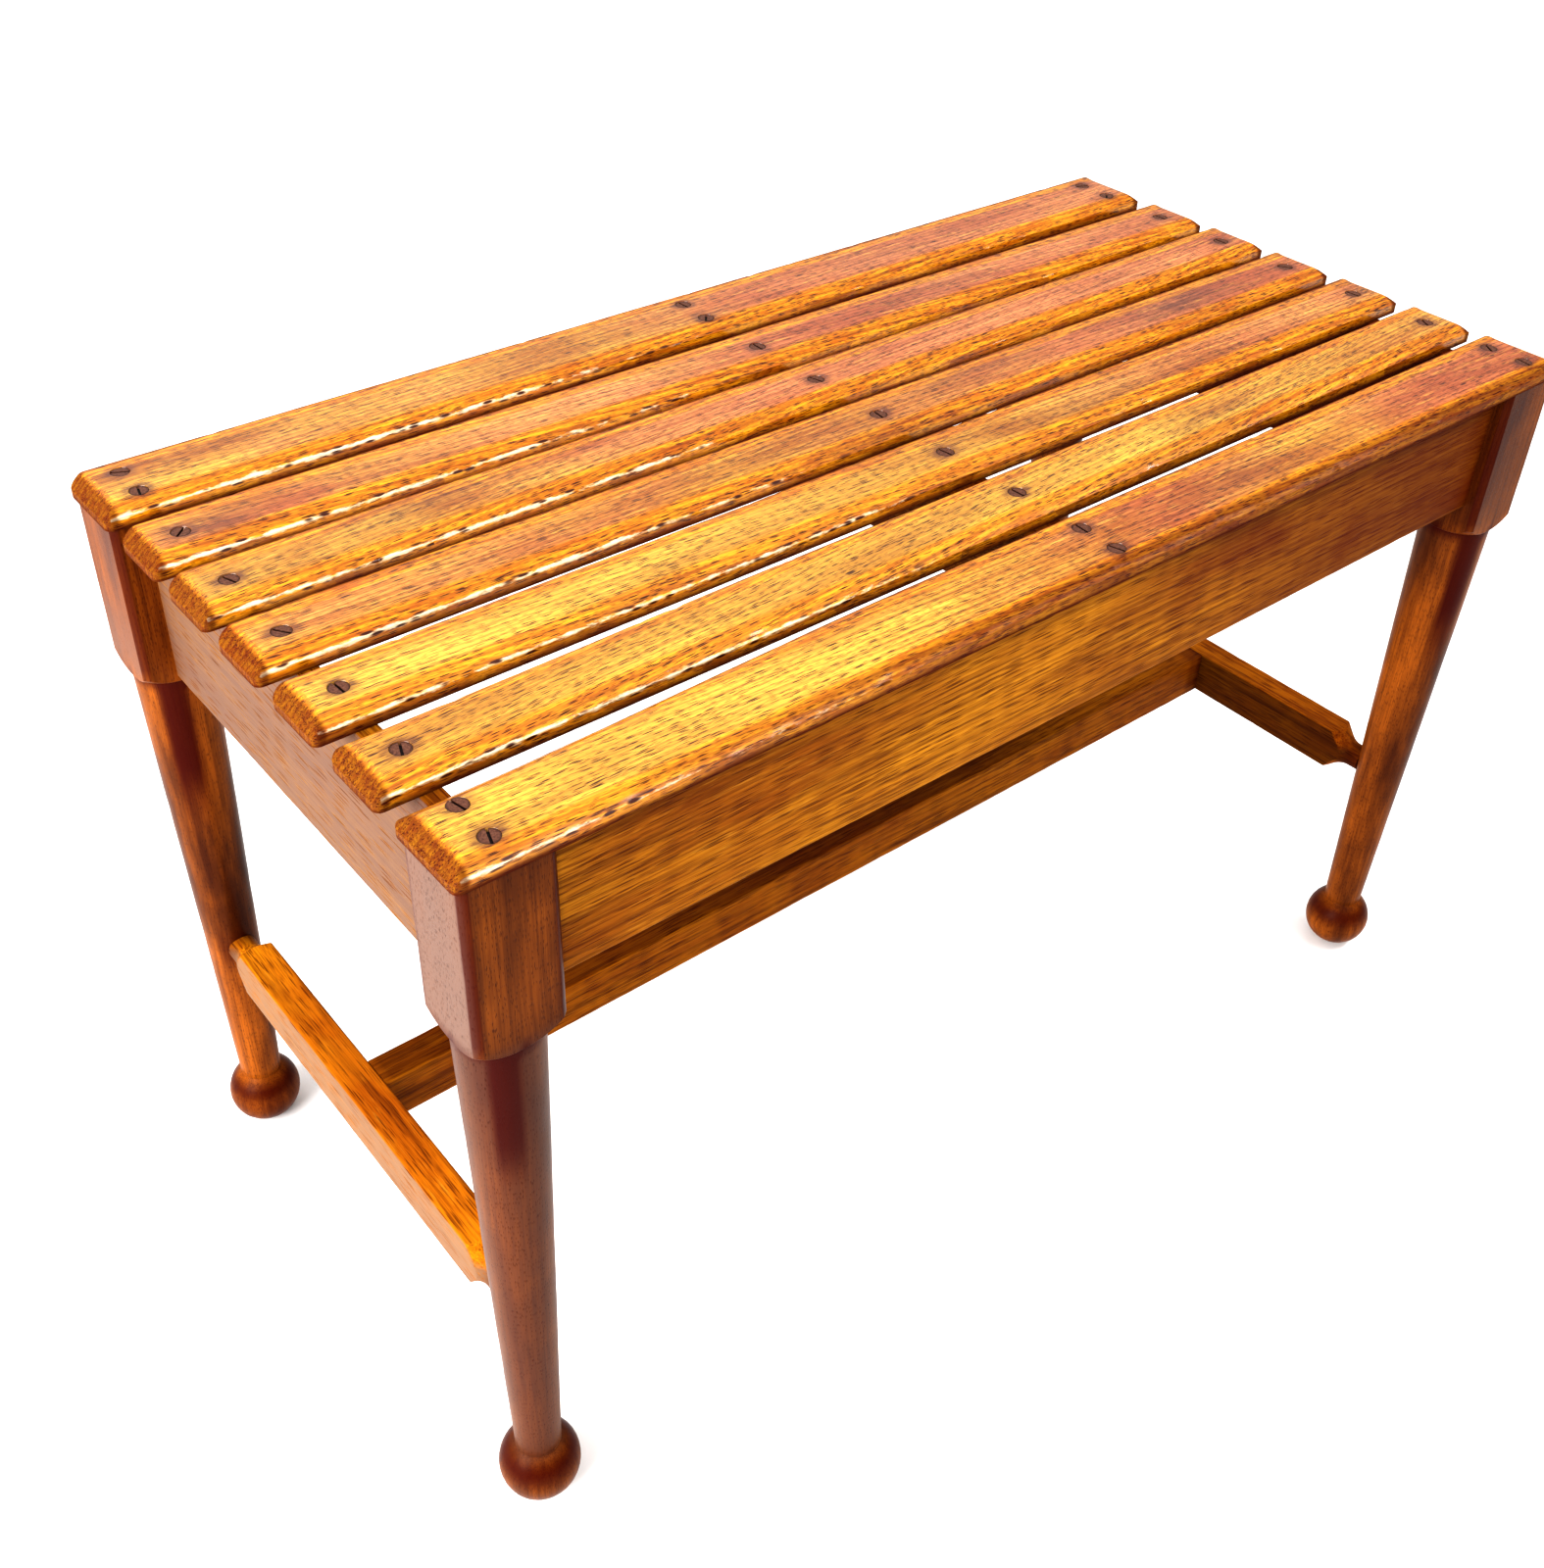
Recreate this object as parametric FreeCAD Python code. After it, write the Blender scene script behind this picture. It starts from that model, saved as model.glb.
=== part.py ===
import FreeCAD, Part
import math
import os

# Slatted entryway bench: a screwed slat seat on a mortised four-leg stand.
# Millimetres. +X runs along the bench, -Y is the front, +Z is up, and the
# origin is on the floor under the middle of the seat.

V = FreeCAD.Vector

# ---------------------------------------------------------------- driving sizes
SEAT_LENGTH = 746.0
SEAT_DEPTH = 373.0
SEAT_HEIGHT = 467.0

# seat slats
SLAT_THICKNESS = 11.0
OUTER_SLAT_WIDTH = 47.0
INNER_SLAT_WIDTH = 38.5
INNER_SLATS = 5
INNER_PITCH = 52.5
INNER_SHIFT = -2.5             # the inner slats sit a little towards the front
SLAT_EDGE_RADIUS = 5.0
SLAT_CORNER_RADIUS = 6.0

# legs: a square head over a turned, tapered shaft with a ball foot
HEAD_WIDTH = 45.0
HEAD_CHAMFER = 3.0
HEAD_HEIGHT = 98.0             # from the slat underside to the middle of a face
SHOULDER_RISE = 8.5            # how far the turned shoulder climbs at the corners
SHAFT_TOP_RADIUS = 21.0
ANKLE_RADIUS = 12.5
BALL_RADIUS = 22.0
BALL_CENTRE_HEIGHT = 21.0
LEG_INSET_X = 2.0              # leg face behind the slat ends
LEG_INSET_Y = 0.5              # leg face behind the outer slat edges

# aprons and the cross rail under the middle of the slats
LONG_APRON_HEIGHT = 76.0
LONG_APRON_THICKNESS = 18.0
LONG_APRON_INSET = 8.5         # behind the leg face
END_APRON_HEIGHT = 94.0
END_APRON_THICKNESS = 11.0
CROSS_RAIL_WIDTH = 25.0
CROSS_RAIL_HEIGHT = 48.0
TENON_SETDOWN = 18.0           # top of a leg tenon below the apron's top edge
TENON_RISE = 8.0               # bottom of a tenon above the lower edge
LONG_TENON = (21.0, 8.0)       # length into the leg, thickness
END_TENON = (18.0, 6.0)
CROSS_TENON = (11.0, 12.0)

# H stretcher
STRETCHER_TOP = 172.0
STRETCHER_HEIGHT = 31.0
STRETCHER_WIDTH = 20.5
STRETCHER_EASE = 1.0
NECK_RADIUS = 8.5
NECK_START = 37.5              # from the leg's axis to the end of the square part
NECK_LENGTH = 16.0
NECK_DEPTH = 6.0               # past the leg's axis
STUB_TENON = (9.0, 7.0)
STUB_RISE = 6.0

# slotted countersunk wood screws
SCREW_LENGTH = 25.0
SCREW_HEAD_DIAMETER = 9.6
SCREW_SHANK_DIAMETER = 4.0
SCREW_TIP = 5.0
SCREW_SINK = 0.3               # head below the slat's face
SCREW_SLOT = (1.2, 1.2)        # width, depth
HOLE_CLEARANCE = 0.15
END_SCREW_INSET = 23.0         # from the slat ends
PAIR_SPACING = 23.0            # the two screws side by side in an outer slat

# ------------------------------------------------------------ places worked out
SLAT_UNDERSIDE = SEAT_HEIGHT - SLAT_THICKNESS
LEG_X = SEAT_LENGTH / 2 - LEG_INSET_X - HEAD_WIDTH / 2
LEG_Y = SEAT_DEPTH / 2 - LEG_INSET_Y - HEAD_WIDTH / 2
SHOULDER_Z = SLAT_UNDERSIDE - HEAD_HEIGHT
STRETCHER_Z = STRETCHER_TOP - STRETCHER_HEIGHT / 2
LONG_APRON_Y = LEG_Y + HEAD_WIDTH / 2 - LONG_APRON_INSET - LONG_APRON_THICKNESS / 2
APRON_LENGTH_X = 2 * LEG_X - HEAD_WIDTH
APRON_LENGTH_Y = 2 * LEG_Y - HEAD_WIDTH
CROSS_RAIL_LENGTH = 2 * LONG_APRON_Y - LONG_APRON_THICKNESS
MEDIAL_LENGTH = 2 * LEG_X - STRETCHER_WIDTH
END_SCREW_X = SEAT_LENGTH / 2 - END_SCREW_INSET
OUTER_SLAT_Y = SEAT_DEPTH / 2 - OUTER_SLAT_WIDTH / 2
BEYOND = 5.0                   # how far a cutting tool runs past the surface it cuts


def block(size, centre):
    """A box of the given x, y, z size about its centre."""
    corner = V(*(c - s / 2 for c, s in zip(centre, size)))
    return Part.makeBox(size[0], size[1], size[2], corner)


def cylinder(radius, length, base, direction=V(0, 0, 1)):
    return Part.makeCylinder(radius, length, base, direction)


def revolved(edges):
    """A solid of revolution about Z from a closed profile in the XZ plane."""
    face = Part.Face(Part.Wire(edges))
    return face.revolve(V(0, 0, 0), V(0, 0, 1), 360)


def line(a, b):
    return Part.LineSegment(V(a[0], 0, a[1]), V(b[0], 0, b[1])).toShape()


def arc(a, through, b):
    points = [V(p[0], 0, p[1]) for p in (a, through, b)]
    return Part.Arc(*points).toShape()


def edges_where(shape, test):
    """The straight edges whose two ends both pass the test."""
    return [e for e in shape.Edges if len(e.Vertexes) == 2 and all(test(v.Point) for v in e.Vertexes)]


def long_edges(shape, axis):
    """The edges that run parallel to one axis (0, 1 or 2)."""
    found = []
    for edge in shape.Edges:
        run = edge.Vertexes[-1].Point - edge.Vertexes[0].Point
        if run.Length > 0 and abs(run[axis]) > 0.999 * run.Length:
            found.append(edge)
    return found


# ------------------------------------------------------------------------ slats
def slat_places():
    """Node name, centre line y and width of each slat, front to back."""
    places = [("front_slat", -OUTER_SLAT_Y, OUTER_SLAT_WIDTH)]
    for i in range(INNER_SLATS):
        y = INNER_SHIFT + (i - (INNER_SLATS - 1) / 2) * INNER_PITCH
        places.append(("slat_%d" % (i + 2), y, INNER_SLAT_WIDTH))
    places.append(("back_slat", OUTER_SLAT_Y, OUTER_SLAT_WIDTH))
    return places


def screw_places(y, width):
    """The x, y places of the screws in one slat: one at each support, or a pair."""
    if width == OUTER_SLAT_WIDTH:
        rows = (y - PAIR_SPACING / 2, y + PAIR_SPACING / 2)
    else:
        rows = (y,)
    return [(x, row) for x in (-END_SCREW_X, 0.0, END_SCREW_X) for row in rows]


def make_slat(y, width):
    """A plank with rounded plan corners, eased top edges and countersunk holes."""
    plank = block((SEAT_LENGTH, width, SLAT_THICKNESS), (0, y, SLAT_UNDERSIDE + SLAT_THICKNESS / 2))
    plank = plank.makeFillet(SLAT_CORNER_RADIUS, long_edges(plank, 2))
    top = edges_where(plank, lambda p: abs(p.z - SEAT_HEIGHT) < 1e-6)
    plank = plank.makeFillet(SLAT_EDGE_RADIUS, top)
    for x, row in screw_places(y, width):
        plank = plank.cut(screw_hole(x, row))
    return plank


# ----------------------------------------------------------------------- screws
def countersink(x, y, z, extra):
    """The cone of a screw head, with its top at height z and widened by extra."""
    head = SCREW_HEAD_DIAMETER / 2 + extra
    shank = SCREW_SHANK_DIAMETER / 2 + extra
    return Part.makeCone(shank, head, head - shank, V(x, y, z - (head - shank)))


def screw_hole(x, y):
    """Clearance hole through a slat: countersink, head recess and shank bore."""
    head_z = SEAT_HEIGHT - SCREW_SINK
    bore = cylinder(SCREW_SHANK_DIAMETER / 2 + HOLE_CLEARANCE, SLAT_THICKNESS + 2 * BEYOND,
                    V(x, y, SLAT_UNDERSIDE - BEYOND))
    recess = cylinder(SCREW_HEAD_DIAMETER / 2, SCREW_SINK + BEYOND, V(x, y, head_z))
    return bore.fuse(countersink(x, y, head_z, 0.0)).fuse(recess)


def make_screw(x, y):
    """A countersunk head with a driving slot, a plain shank and a pointed tip."""
    head_z = SEAT_HEIGHT - SCREW_SINK
    tip_z = SEAT_HEIGHT - SCREW_LENGTH
    shank = SCREW_SHANK_DIAMETER / 2
    body = cylinder(shank, head_z - SCREW_TIP - tip_z, V(x, y, tip_z + SCREW_TIP))
    tip = Part.makeCone(0, shank, SCREW_TIP, V(x, y, tip_z))
    screw = countersink(x, y, head_z, 0.0).fuse([body, tip]).removeSplitter()
    turn = math.radians((7.0 * x + 11.0 * y) % 180.0)      # each slot stops at its own angle
    slot = block((2 * SCREW_HEAD_DIAMETER, SCREW_SLOT[0], 2 * SCREW_SLOT[1]), (0, 0, 0))
    slot.rotate(V(0, 0, 0), V(0, 0, 1), math.degrees(turn))
    slot.translate(V(x, y, head_z))
    return screw.cut(slot)


def pilot_hole(x, y):
    """The hole that a screw's thread fills in the wood under the slat."""
    tip_z = SEAT_HEIGHT - SCREW_LENGTH
    shank = SCREW_SHANK_DIAMETER / 2
    bore = cylinder(shank, SLAT_UNDERSIDE + BEYOND - tip_z - SCREW_TIP, V(x, y, tip_z + SCREW_TIP))
    return bore.fuse(Part.makeCone(0, shank, SCREW_TIP, V(x, y, tip_z)))


# ------------------------------------------------------------------------- legs
def turned_shaft():
    """Ball foot, thin ankle and straight taper up to the head, turned in one piece."""
    pad = math.sqrt(BALL_RADIUS ** 2 - BALL_CENTRE_HEIGHT ** 2)
    ankle_z = BALL_CENTRE_HEIGHT + math.sqrt(BALL_RADIUS ** 2 - ANKLE_RADIUS ** 2)
    top = SHOULDER_Z + BEYOND
    return revolved([
        line((0, 0), (pad, 0)),
        arc((pad, 0), (BALL_RADIUS, BALL_CENTRE_HEIGHT), (ANKLE_RADIUS, ankle_z)),
        line((ANKLE_RADIUS, ankle_z), (SHAFT_TOP_RADIUS, SHOULDER_Z)),
        line((SHAFT_TOP_RADIUS, SHOULDER_Z), (SHAFT_TOP_RADIUS, top)),
        line((SHAFT_TOP_RADIUS, top), (0, top)),
        line((0, top), (0, 0)),
    ])


def square_head():
    """The chamfered square head, its lower corners rounded off on the lathe."""
    height = SLAT_UNDERSIDE - SHOULDER_Z
    head = block((HEAD_WIDTH, HEAD_WIDTH, height), (0, 0, SHOULDER_Z + height / 2))
    head = head.makeChamfer(HEAD_CHAMFER, long_edges(head, 2))
    reach = HEAD_WIDTH / math.sqrt(2)
    half = (SHAFT_TOP_RADIUS + reach) / 2
    envelope = revolved([
        line((0, SHOULDER_Z), (SHAFT_TOP_RADIUS, SHOULDER_Z)),
        arc((SHAFT_TOP_RADIUS, SHOULDER_Z), (half, SHOULDER_Z + 0.35 * SHOULDER_RISE),
            (reach, SHOULDER_Z + SHOULDER_RISE)),
        line((reach, SHOULDER_Z + SHOULDER_RISE), (reach, SLAT_UNDERSIDE)),
        line((reach, SLAT_UNDERSIDE), (0, SLAT_UNDERSIDE)),
        line((0, SLAT_UNDERSIDE), (0, SHOULDER_Z)),
    ])
    return head.common(envelope)


def make_leg(side_x, side_y):
    """One leg at its corner, mortised for two aprons and bored for a stretcher."""
    leg = square_head().fuse(turned_shaft()).removeSplitter()
    leg.translate(V(side_x * LEG_X, side_y * LEG_Y, 0))
    for tenon in (long_apron_tenon(side_x, side_y), end_apron_tenon(side_x, side_y), neck(side_x, side_y)):
        leg = leg.cut(tenon)
    for name, y, width in slat_places():
        for x, row in screw_places(y, width):
            if abs(x - side_x * LEG_X) < HEAD_WIDTH / 2 and abs(row - side_y * LEG_Y) < HEAD_WIDTH / 2:
                leg = leg.cut(pilot_hole(x, row))
    return leg


# ----------------------------------------------------------------------- aprons
def tenon_height(apron_height):
    return apron_height - TENON_SETDOWN - TENON_RISE


def tenon_z(apron_height):
    return SLAT_UNDERSIDE - TENON_SETDOWN - tenon_height(apron_height) / 2


def long_apron_tenon(side_x, side_y):
    length, thickness = LONG_TENON
    x = side_x * (APRON_LENGTH_X + length) / 2
    return block((length, thickness, tenon_height(LONG_APRON_HEIGHT)),
                 (x, side_y * LONG_APRON_Y, tenon_z(LONG_APRON_HEIGHT)))


def end_apron_tenon(side_x, side_y):
    length, thickness = END_TENON
    y = side_y * (APRON_LENGTH_Y + length) / 2
    return block((thickness, length, tenon_height(END_APRON_HEIGHT)),
                 (side_x * LEG_X, y, tenon_z(END_APRON_HEIGHT)))


def cross_rail_tenon(side_y):
    length, thickness = CROSS_TENON
    height = CROSS_RAIL_HEIGHT - 2 * TENON_RISE
    y = side_y * (CROSS_RAIL_LENGTH + length) / 2
    return block((thickness, length, height), (0, y, SLAT_UNDERSIDE - CROSS_RAIL_HEIGHT / 2))


def drilled(piece):
    """Cut the pilot hole of every screw that enters this piece from above."""
    box = piece.BoundBox
    for name, y, width in slat_places():
        for x, row in screw_places(y, width):
            if box.XMin < x < box.XMax and box.YMin < row < box.YMax:
                piece = piece.cut(pilot_hole(x, row))
    return piece


def make_long_apron(side_y):
    """Front or back apron: tenoned into two legs, mortised for the cross rail."""
    apron = block((APRON_LENGTH_X, LONG_APRON_THICKNESS, LONG_APRON_HEIGHT),
                  (0, side_y * LONG_APRON_Y, SLAT_UNDERSIDE - LONG_APRON_HEIGHT / 2))
    tenons = [long_apron_tenon(side_x, side_y) for side_x in (-1, 1)]
    apron = apron.fuse(tenons).removeSplitter()
    return drilled(apron.cut(cross_rail_tenon(side_y)))


def make_end_apron(side_x):
    """Deep thin apron between the front and back leg of one end."""
    apron = block((END_APRON_THICKNESS, APRON_LENGTH_Y, END_APRON_HEIGHT),
                  (side_x * LEG_X, 0, SLAT_UNDERSIDE - END_APRON_HEIGHT / 2))
    tenons = [end_apron_tenon(side_x, side_y) for side_y in (-1, 1)]
    return drilled(apron.fuse(tenons).removeSplitter())


def make_cross_rail():
    """The rail that the middle screws of all the slats go into."""
    rail = block((CROSS_RAIL_WIDTH, CROSS_RAIL_LENGTH, CROSS_RAIL_HEIGHT),
                 (0, 0, SLAT_UNDERSIDE - CROSS_RAIL_HEIGHT / 2))
    tenons = [cross_rail_tenon(side_y) for side_y in (-1, 1)]
    return drilled(rail.fuse(tenons).removeSplitter())


# ------------------------------------------------------------------- stretchers
def neck(side_x, side_y):
    """The round end of an end stretcher, from its square part into the leg."""
    start = LEG_Y - NECK_START
    length = NECK_START + NECK_DEPTH
    return cylinder(NECK_RADIUS, length, V(side_x * LEG_X, side_y * start, STRETCHER_Z), V(0, side_y, 0))


def stub_tenon(side_x):
    length, thickness = STUB_TENON
    height = STRETCHER_HEIGHT - 2 * STUB_RISE
    x = side_x * (MEDIAL_LENGTH + length) / 2
    return block((length, thickness, height), (x, 0, STRETCHER_Z))


def stretcher_envelope():
    """Turned envelope about Z: full reach in the middle, a cove down to each neck."""
    reach = math.hypot(STRETCHER_HEIGHT, STRETCHER_WIDTH) / 2
    start = LEG_Y - NECK_START
    end = start + NECK_LENGTH
    mid = (NECK_RADIUS + 0.3 * (reach - NECK_RADIUS), start + 0.45 * NECK_LENGTH)
    return revolved([
        line((0, -end), (NECK_RADIUS, -end)),
        arc((NECK_RADIUS, -end), (mid[0], -mid[1]), (reach, -start)),
        line((reach, -start), (reach, start)),
        arc((reach, start), mid, (NECK_RADIUS, end)),
        line((NECK_RADIUS, end), (0, end)),
        line((0, end), (0, -end)),
    ])


def make_end_stretcher(side_x):
    """Rectangular bar between two legs, its ends turned down to round necks."""
    length = 2 * (LEG_Y - NECK_START + NECK_LENGTH)
    bar = block((STRETCHER_WIDTH, length, STRETCHER_HEIGHT), (0, 0, 0))
    bar = bar.makeChamfer(STRETCHER_EASE, long_edges(bar, 1))
    envelope = stretcher_envelope()
    envelope.rotate(V(0, 0, 0), V(1, 0, 0), 90)
    bar = bar.common(envelope)
    bar.translate(V(side_x * LEG_X, 0, STRETCHER_Z))
    bar = bar.fuse([neck(side_x, side_y) for side_y in (-1, 1)]).removeSplitter()
    return bar.cut(stub_tenon(side_x))


def make_medial_stretcher():
    """The long bar that ties the two end stretchers together."""
    bar = block((MEDIAL_LENGTH, STRETCHER_WIDTH, STRETCHER_HEIGHT), (0, 0, STRETCHER_Z))
    bar = bar.makeChamfer(STRETCHER_EASE, long_edges(bar, 0))
    return bar.fuse([stub_tenon(side_x) for side_x in (-1, 1)]).removeSplitter()


# --------------------------------------------------------------------- assembly
def make_parts():
    parts = {}
    for name, y, width in slat_places():
        parts[name] = make_slat(y, width)
        parts[name + "_screws"] = Part.makeCompound([make_screw(*place) for place in screw_places(y, width)])
    for end, side_y in (("front", -1), ("back", 1)):
        parts[end + "_apron"] = make_long_apron(side_y)
        for hand, side_x in (("left", -1), ("right", 1)):
            parts["%s_%s_leg" % (end, hand)] = make_leg(side_x, side_y)
    for hand, side_x in (("left", -1), ("right", 1)):
        parts[hand + "_end_apron"] = make_end_apron(side_x)
        parts[hand + "_end_stretcher"] = make_end_stretcher(side_x)
    parts["cross_rail"] = make_cross_rail()
    parts["medial_stretcher"] = make_medial_stretcher()
    return parts


os.makedirs("parts", exist_ok=True)
for name, shape in make_parts().items():
    shape.exportStep("parts/%s.step" % name)
    print("%-24s %d solid(s) %10.0f mm3 valid=%s" % (name, len(shape.Solids), shape.Volume, shape.isValid()))
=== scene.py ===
import math

import bmesh
import bpy
from mathutils import Matrix, Quaternion, Vector, noise


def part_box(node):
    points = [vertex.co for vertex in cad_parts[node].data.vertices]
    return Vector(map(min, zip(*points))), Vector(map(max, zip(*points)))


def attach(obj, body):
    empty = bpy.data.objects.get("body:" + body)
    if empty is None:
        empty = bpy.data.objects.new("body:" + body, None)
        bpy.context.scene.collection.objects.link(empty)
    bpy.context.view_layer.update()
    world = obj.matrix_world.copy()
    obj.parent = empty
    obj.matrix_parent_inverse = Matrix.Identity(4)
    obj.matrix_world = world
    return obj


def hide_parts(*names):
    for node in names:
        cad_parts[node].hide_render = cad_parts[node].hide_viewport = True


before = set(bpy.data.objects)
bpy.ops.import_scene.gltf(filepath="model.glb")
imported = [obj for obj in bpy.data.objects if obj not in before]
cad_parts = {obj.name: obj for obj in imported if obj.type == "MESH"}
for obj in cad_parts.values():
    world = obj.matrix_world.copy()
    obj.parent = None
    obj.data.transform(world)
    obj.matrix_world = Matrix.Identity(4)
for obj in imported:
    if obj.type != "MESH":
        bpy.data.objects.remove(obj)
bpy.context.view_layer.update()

# A slatted hall bench in old polished oak and red-brown beech. Metres, in the
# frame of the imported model: +X along the bench, -Y the front, +Z up.

MM = 0.001
SLATS = ["front_slat", "slat_2", "slat_3", "slat_4", "slat_5", "slat_6", "back_slat"]
LEGS = ["front_left_leg", "front_right_leg", "back_left_leg", "back_right_leg"]


# ------------------------------------------------------------------ mesh helpers
def smooth_step(low, high, value):
    """0 below low, 1 above high, and smooth in between."""
    t = min(1.0, max(0.0, (value - low) / (high - low)))
    return t * t * (3.0 - 2.0 * t)


def fractal(point, scale, seed, octaves=3):
    """Smooth noise from about -1 to 1, at the given number of features per metre."""
    place = Vector(point) * scale + Vector((seed * 7.31, seed * 3.77, seed * 5.13))
    return noise.fractal(place, 0.9, 2.1, octaves)


def grid_mesh(name, rings):
    """A mesh from rings of points, each ring joined to the next, with both ends capped."""
    count = len(rings[0])
    points = [p for ring in rings for p in ring]
    faces = []
    for r in range(len(rings) - 1):
        for i in range(count):
            j = (i + 1) % count
            faces.append((r * count + i, r * count + j, (r + 1) * count + j, (r + 1) * count + i))
    last = (len(rings) - 1) * count
    faces.append(tuple(reversed(range(count))))
    faces.append(tuple(range(last, last + count)))
    mesh = bpy.data.meshes.new(name)
    mesh.from_pydata(points, [], faces)
    mesh.validate()
    work = bmesh.new()
    work.from_mesh(mesh)
    bmesh.ops.recalc_face_normals(work, faces=work.faces)
    work.to_mesh(mesh)
    work.free()
    return mesh


def paint(mesh, grain_of, marks_of):
    """Store where each point lies in its plank, and its wear and painted highlight, stain and painted
    shade, dirt and painted shade, and tone with painted light.
    """
    places = [(vertex.co.copy(), vertex.normal.copy()) for vertex in mesh.vertices]
    grain = mesh.attributes.new("grain", "FLOAT_VECTOR", "POINT")
    grain.data.foreach_set("vector", [value for co, normal in places for value in grain_of(co)])
    marks = mesh.attributes.new("marks", "FLOAT_COLOR", "POINT")
    marks.data.foreach_set("color", [value for co, normal in places for value in marks_of(co, normal)])


def add_piece(mesh, node, material, suffix="_wood", sharp_angle=32.0):
    """Put a finished mesh in the scene in place of its CAD node."""
    mesh.materials.clear()
    mesh.materials.append(material)
    for polygon in mesh.polygons:
        polygon.use_smooth = True
    mesh.set_sharp_from_angle(angle=math.radians(sharp_angle))
    piece = bpy.data.objects.new(node + suffix, mesh)
    bpy.context.scene.collection.objects.link(piece)
    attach(piece, "root")
    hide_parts(node)
    return piece


def cut(mesh, cutter):
    """The mesh less the cutter."""
    target = bpy.data.objects.new("target", mesh)
    tool = bpy.data.objects.new("tool", cutter)
    bpy.context.scene.collection.objects.link(target)
    bpy.context.scene.collection.objects.link(tool)
    boolean = target.modifiers.new("cut", "BOOLEAN")
    boolean.operation = "DIFFERENCE"
    boolean.solver = "EXACT"
    boolean.object = tool
    graph = bpy.context.evaluated_depsgraph_get()
    result = bpy.data.meshes.new_from_object(target.evaluated_get(graph), depsgraph=graph)
    bpy.data.objects.remove(target)
    bpy.data.objects.remove(tool)
    return result


def loose_parts(node):
    """Lowest and highest corner of each separate solid in a CAD node."""
    work = bmesh.new()
    work.from_mesh(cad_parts[node].data)
    bmesh.ops.remove_doubles(work, verts=work.verts, dist=1e-6)
    left = set(work.verts)
    parts = []
    while left:
        stack = [left.pop()]
        island = []
        while stack:
            vertex = stack.pop()
            island.append(vertex.co.copy())
            for edge in vertex.link_edges:
                other = edge.other_vert(vertex)
                if other in left:
                    left.remove(other)
                    stack.append(other)
        low = Vector([min(p[k] for p in island) for k in range(3)])
        high = Vector([max(p[k] for p in island) for k in range(3)])
        parts.append((low, high))
    work.free()
    return sorted(parts, key=lambda part: tuple(part[0]))


# -------------------------------------------------------------- sizes from frame
seat_low, seat_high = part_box("slat_4")
SEAT_TOP = seat_high.z
SLAT_UNDERSIDE = seat_low.z
SLAT_THICKNESS = SEAT_TOP - SLAT_UNDERSIDE
SEAT_END = seat_high.x
stretcher_low, stretcher_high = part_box("medial_stretcher")
STRETCHER_Z = (stretcher_low.z + stretcher_high.z) / 2
STRETCHER_HALF_HEIGHT = (stretcher_high.z - stretcher_low.z) / 2
STRETCHER_HALF_WIDTH = (stretcher_high.y - stretcher_low.y) / 2
SCREWS = {name: loose_parts(name + "_screws") for name in SLATS}
HEAD_RADIUS = (SCREWS["slat_4"][0][1].x - SCREWS["slat_4"][0][0].x) / 2
HEAD_TOP = SCREWS["slat_4"][0][1].z
SHANK_RADIUS = 2.0 * MM
RECESS_GAP = 0.16 * MM         # between a screw head and the wood round it
leg_low, leg_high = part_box("back_right_leg")
LEG_X = (leg_low.x + leg_high.x) / 2
LEG_Y = (leg_low.y + leg_high.y) / 2
HEAD_HALF = (leg_high.x - leg_low.x) / 2
FACE_X = LEG_X - HEAD_HALF
FACE_Y = LEG_Y - HEAD_HALF


# ----------------------------------------------------------------- node building
BUMP_DEPTH = 0.6 * MM
WAVE_SPACING = 0.314           # of the wave texture's bands at scale 1


def srgb(red, green, blue):
    """A linear colour with alpha from 0-255 display values."""
    def linear(value):
        value /= 255.0
        return value / 12.92 if value <= 0.04045 else ((value + 0.055) / 1.055) ** 2.4
    return (linear(red), linear(green), linear(blue), 1.0)


def put(tree, kind, inputs=(), **settings):
    """Add a node, set its properties, and link or set its inputs."""
    node = tree.nodes.new(kind)
    for key, value in settings.items():
        setattr(node, key, value)
    pairs = inputs.items() if isinstance(inputs, dict) else enumerate(inputs)
    for key, value in pairs:
        if isinstance(value, bpy.types.NodeSocket):
            tree.links.new(value, node.inputs[key])
        elif value is not None:
            node.inputs[key].default_value = value
    return node


def plus(tree, a, b):
    return put(tree, "ShaderNodeMath", (a, b), operation="ADD").outputs[0]


def less(tree, a, b):
    return put(tree, "ShaderNodeMath", (a, b), operation="SUBTRACT").outputs[0]


def times(tree, a, b):
    return put(tree, "ShaderNodeMath", (a, b), operation="MULTIPLY").outputs[0]


def step(tree, value, low, high, to_low=0.0, to_high=1.0):
    """Smooth step of a value, mapped to a new range."""
    inputs = (value, low, high, to_low, to_high)
    return put(tree, "ShaderNodeMapRange", inputs, interpolation_type="SMOOTHSTEP").outputs[0]


def mix(tree, factor, a, b, mode="MIX"):
    node = put(tree, "ShaderNodeMix", {0: factor, 6: a, 7: b}, data_type="RGBA", blend_type=mode)
    return node.outputs[2]


def tint(tree, colour, target, mask, strength):
    """The colour moved towards a target by a mask times a strength."""
    return mix(tree, times(tree, mask, strength), colour, target)


def stretch(tree, vector, scale):
    return put(tree, "ShaderNodeVectorMath", (vector, scale), operation="MULTIPLY").outputs[0]


def offset(tree, vector, shift):
    return put(tree, "ShaderNodeVectorMath", (vector, shift), operation="ADD").outputs[0]


def cloud(tree, vector, detail=3.0, roughness=0.55):
    """Fractal noise from 0 to 1 at unit scale: the vector is stretched first."""
    inputs = {"Vector": vector, "Scale": 1.0, "Detail": detail, "Roughness": roughness}
    return put(tree, "ShaderNodeTexNoise", inputs).outputs["Fac"]


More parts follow.
